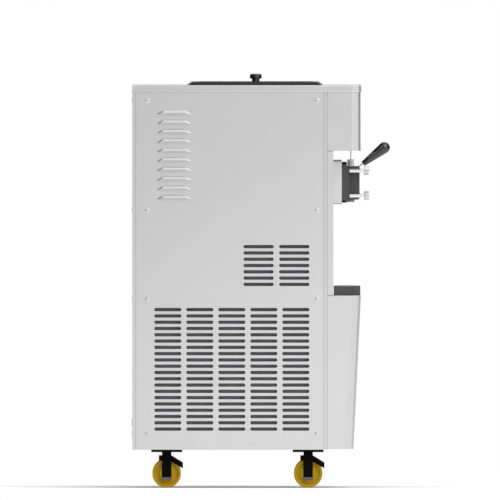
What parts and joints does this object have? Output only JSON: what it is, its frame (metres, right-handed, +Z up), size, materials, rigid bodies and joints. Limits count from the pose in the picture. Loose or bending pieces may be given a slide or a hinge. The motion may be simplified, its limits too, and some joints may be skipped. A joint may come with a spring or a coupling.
{
  "type": "soft serve ice cream machine",
  "caption": "Floor-standing soft-serve ice cream machine with vented sheet cabinet, lidded hoppers, lever-worked draw valves, drip tray and braked casters.",
  "frame": {"origin": "on the floor under the middle of the bounding box", "axes": "+Z up, front and levers face -Y, the machine's own right side is -X"},
  "size_m": [0.552, 0.9042, 1.4471],
  "materials": {
    "cabinet_sheet": "satin light grey sheet steel",
    "zinc_sheet": "zinc coated",
    "screw_steel": "polished",
    "stainless": "brushed",
    "insulation": "foam jacket",
    "flange_metal": "bead blasted",
    "beater_plastic": "food grade white",
    "motor_paint": "black paint",
    "lid_plastic": "dark grey moulded",
    "black_plastic": "gloss black",
    "seal_rubber": "matt black",
    "door_plastic": "satin dark grey",
    "valve_plastic": "pale grey",
    "chrome": "polished",
    "fascia_plastic": "gloss dark",
    "button_plastic": "satin",
    "tray_plastic": "dark grey moulded",
    "caster_black": "black paint",
    "wheel_yellow": "moulded polyurethane",
    "condenser_fins": "dark coated fins",
    "fan_plastic": "black",
    "copper": "bare copper",
    "electrics_grey": "dark grey paint"
  },
  "bodies": {
    "cabinet": {"base_pan": "zinc_sheet", "cable_gland": "seal_rubber", "caster_plates": "caster_black", "compressor": "motor_paint", "condenser": "condenser_fins", "control_fascia": "fascia_plastic", "control_housing": "cabinet_sheet", "cylinder_flange": "flange_metal", "door_seals": "seal_rubber", "electrical_box": "electrics_grey", "fan_shroud": "fan_plastic", "frame_rails": "cabinet_sheet", "freezer_door": "door_plastic", "freezing_cylinders": "insulation", "front_panel": "cabinet_sheet", "gear_motors": "motor_paint", "hand_screws": "chrome", "hoppers": "stainless", "left_side_panel": "cabinet_sheet", "lever_pivot_rod": "stainless", "lower_front_cover": "cabinet_sheet", "panel_screws": "screw_steel", "rear_panel": "cabinet_sheet", "refrigerant_pipes": "copper", "right_side_panel": "cabinet_sheet", "spout_caps": "door_plastic", "top_cover": "cabinet_sheet"},
    "lid_right": {"hopper_lid_right": "lid_plastic", "lid_knob_right": "black_plastic"},
    "beater_right": {"beater_right": "beater_plastic"},
    "lid_left": {"hopper_lid_left": "lid_plastic", "lid_knob_left": "black_plastic"},
    "beater_left": {"beater_left": "beater_plastic"},
    "fan": {"cooling_fan": "fan_plastic"},
    "lever_right": {"draw_lever_right": "stainless", "lever_grip_right": "black_plastic"},
    "valve_right": {"draw_valve_right": "valve_plastic"},
    "lever_centre": {"draw_lever_centre": "stainless", "lever_grip_centre": "black_plastic"},
    "valve_centre": {"draw_valve_centre": "valve_plastic"},
    "lever_left": {"draw_lever_left": "stainless", "lever_grip_left": "black_plastic"},
    "valve_left": {"draw_valve_left": "valve_plastic"},
    "button_1": {"control_button_1": "button_plastic"},
    "button_2": {"control_button_2": "button_plastic"},
    "button_3": {"control_button_3": "button_plastic"},
    "tray": {"drip_tray": "tray_plastic"},
    "grid": {"drip_grid": "stainless"},
    "caster_rear_right": {"caster_fork_rear_right": "caster_black"},
    "wheel_rear_right": {"caster_wheel_rear_right": "wheel_yellow"},
    "brake_rear_right": {"brake_pedal_rear_right": "caster_black"},
    "caster_front_right": {"caster_fork_front_right": "caster_black"},
    "wheel_front_right": {"caster_wheel_front_right": "wheel_yellow"},
    "brake_front_right": {"brake_pedal_front_right": "caster_black"},
    "caster_rear_left": {"caster_fork_rear_left": "caster_black"},
    "wheel_rear_left": {"caster_wheel_rear_left": "wheel_yellow"},
    "brake_rear_left": {"brake_pedal_rear_left": "caster_black"},
    "caster_front_left": {"caster_fork_front_left": "caster_black"},
    "wheel_front_left": {"caster_wheel_front_left": "wheel_yellow"},
    "brake_front_left": {"brake_pedal_front_left": "caster_black"}
  },
  "joints": [
    {"name": "lid_lift_right", "type": "slide", "parent": "cabinet", "child": "lid_right", "axis": [0, 0, 1], "range_m": [0, 0.15]},
    {"name": "beater_spin_right", "type": "hinge", "parent": "cabinet", "child": "beater_right", "pos_m": [-0.085, 0.19898, 1.068], "axis": [0, 1, 0], "continuous": true},
    {"name": "lid_lift_left", "type": "slide", "parent": "cabinet", "child": "lid_left", "axis": [0, 0, 1], "range_m": [0, 0.15]},
    {"name": "beater_spin_left", "type": "hinge", "parent": "cabinet", "child": "beater_left", "pos_m": [0.085, 0.19898, 1.068], "axis": [0, 1, 0], "continuous": true},
    {"name": "fan_spin", "type": "hinge", "parent": "cabinet", "child": "fan", "pos_m": [-0.191, 0.10883, 0.4055], "axis": [1, 0, 0], "continuous": true},
    {"name": "lever_pull_right", "type": "hinge", "parent": "cabinet", "child": "lever_right", "pos_m": [-0.085, -0.33542, 1.109], "axis": [1, 0, 0], "range_deg": [0, 50]},
    {"name": "valve_lift_right", "type": "slide", "parent": "cabinet", "child": "valve_right", "axis": [0, 0, 1], "range_m": [0, 0.01872]},
    {"name": "lever_pull_centre", "type": "hinge", "parent": "cabinet", "child": "lever_centre", "pos_m": [0, -0.33542, 1.109], "axis": [1, 0, 0], "range_deg": [0, 50]},
    {"name": "valve_lift_centre", "type": "slide", "parent": "cabinet", "child": "valve_centre", "axis": [0, 0, 1], "range_m": [0, 0.01872]},
    {"name": "lever_pull_left", "type": "hinge", "parent": "cabinet", "child": "lever_left", "pos_m": [0.085, -0.33542, 1.109], "axis": [1, 0, 0], "range_deg": [0, 50]},
    {"name": "valve_lift_left", "type": "slide", "parent": "cabinet", "child": "valve_left", "axis": [0, 0, 1], "range_m": [0, 0.01872]},
    {"name": "button_press_1", "type": "slide", "parent": "cabinet", "child": "button_1", "axis": [0, 1, 0], "range_m": [0, 0.002], "stiffness_N_per_m": 400},
    {"name": "button_press_2", "type": "slide", "parent": "cabinet", "child": "button_2", "axis": [0, 1, 0], "range_m": [0, 0.002], "stiffness_N_per_m": 400},
    {"name": "button_press_3", "type": "slide", "parent": "cabinet", "child": "button_3", "axis": [0, 1, 0], "range_m": [0, 0.002], "stiffness_N_per_m": 400},
    {"name": "tray_slide", "type": "slide", "parent": "cabinet", "child": "tray", "axis": [0, -1, 0], "range_m": [0, 0.12]},
    {"name": "grid_lift", "type": "slide", "parent": "tray", "child": "grid", "axis": [0, 0, 1], "range_m": [0, 0.06]},
    {"name": "swivel_rear_right", "type": "hinge", "parent": "cabinet", "child": "caster_rear_right", "pos_m": [-0.208, 0.32978, 0.1247], "axis": [0, 0, 1], "continuous": true},
    {"name": "roll_rear_right", "type": "hinge", "parent": "caster_rear_right", "child": "wheel_rear_right", "pos_m": [-0.208, 0.32978, 0.05], "axis": [1, 0, 0], "continuous": true},
    {"name": "brake_rear_right", "type": "hinge", "parent": "caster_rear_right", "child": "brake_rear_right", "pos_m": [-0.208, 0.32178, 0.104], "axis": [1, 0, 0], "range_deg": [0, 7]},
    {"name": "swivel_front_right", "type": "hinge", "parent": "cabinet", "child": "caster_front_right", "pos_m": [-0.208, -0.16522, 0.1247], "axis": [0, 0, 1], "continuous": true},
    {"name": "roll_front_right", "type": "hinge", "parent": "caster_front_right", "child": "wheel_front_right", "pos_m": [-0.208, -0.16522, 0.05], "axis": [1, 0, 0], "continuous": true},
    {"name": "brake_front_right", "type": "hinge", "parent": "caster_front_right", "child": "brake_front_right", "pos_m": [-0.208, -0.17322, 0.104], "axis": [1, 0, 0], "range_deg": [0, 7]},
    {"name": "swivel_rear_left", "type": "hinge", "parent": "cabinet", "child": "caster_rear_left", "pos_m": [0.208, 0.32978, 0.1247], "axis": [0, 0, 1], "continuous": true},
    {"name": "roll_rear_left", "type": "hinge", "parent": "caster_rear_left", "child": "wheel_rear_left", "pos_m": [0.208, 0.32978, 0.05], "axis": [1, 0, 0], "continuous": true},
    {"name": "brake_rear_left", "type": "hinge", "parent": "caster_rear_left", "child": "brake_rear_left", "pos_m": [0.208, 0.32178, 0.104], "axis": [1, 0, 0], "range_deg": [0, 7]},
    {"name": "swivel_front_left", "type": "hinge", "parent": "cabinet", "child": "caster_front_left", "pos_m": [0.208, -0.16522, 0.1247], "axis": [0, 0, 1], "continuous": true},
    {"name": "roll_front_left", "type": "hinge", "parent": "caster_front_left", "child": "wheel_front_left", "pos_m": [0.208, -0.16522, 0.05], "axis": [1, 0, 0], "continuous": true},
    {"name": "brake_front_left", "type": "hinge", "parent": "caster_front_left", "child": "brake_front_left", "pos_m": [0.208, -0.17322, 0.104], "axis": [1, 0, 0], "range_deg": [0, 7]}
  ],
  "couplings": [
    {"joint": "valve_lift_right", "follows": "lever_pull_right", "m_per_rad": 0.02134},
    {"joint": "valve_lift_centre", "follows": "lever_pull_centre", "m_per_rad": 0.02134},
    {"joint": "valve_lift_left", "follows": "lever_pull_left", "m_per_rad": 0.02134}
  ]
}
